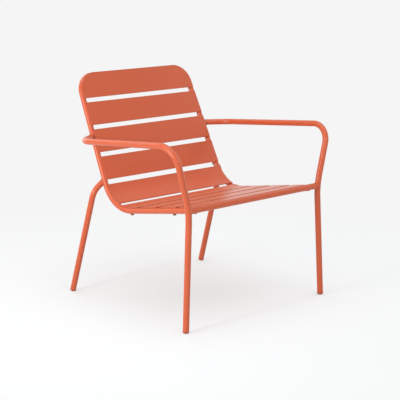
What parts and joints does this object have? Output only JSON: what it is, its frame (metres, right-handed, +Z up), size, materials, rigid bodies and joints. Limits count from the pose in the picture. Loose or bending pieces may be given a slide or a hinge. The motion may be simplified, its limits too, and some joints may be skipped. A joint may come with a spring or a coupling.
{
  "type": "garden lounge chair",
  "caption": "Low metal garden armchair: bent tube frame with looped arms, splayed legs, a reclined back and a sloping seat of wide sheet slats.",
  "frame": {"origin": "on the floor, at the middle of the chair's plan box", "axes": "+Z up, the chair faces -Y, +X across it to the right as seen from its front"},
  "size_m": [0.6858, 0.6366, 0.7327],
  "materials": {
    "powder_coat": "orange powder coat, satin",
    "glide_plastic": "moulded plastic in the colour of the frame",
    "bumper_plastic": "dark brown moulded plastic"
  },
  "bodies": {
    "root": {"back_slat_1": "powder_coat", "back_slat_2": "powder_coat", "back_slat_3": "powder_coat", "back_slat_4": "powder_coat", "bend_slat": "powder_coat", "front_rail": "powder_coat", "front_seat_slat": "powder_coat", "left_arm_and_front_leg": "powder_coat", "left_front_bumper": "bumper_plastic", "left_front_glide": "glide_plastic", "left_rear_bumper": "bumper_plastic", "left_rear_glide": "glide_plastic", "left_rear_leg": "powder_coat", "left_side_rail": "powder_coat", "right_arm_and_front_leg": "powder_coat", "right_front_bumper": "bumper_plastic", "right_front_glide": "glide_plastic", "right_rear_bumper": "bumper_plastic", "right_rear_glide": "glide_plastic", "right_rear_leg": "powder_coat", "right_side_rail": "powder_coat", "seat_slat_1": "powder_coat", "seat_slat_2": "powder_coat", "seat_slat_3": "powder_coat", "top_rail": "powder_coat"}
  },
  "joints": []
}
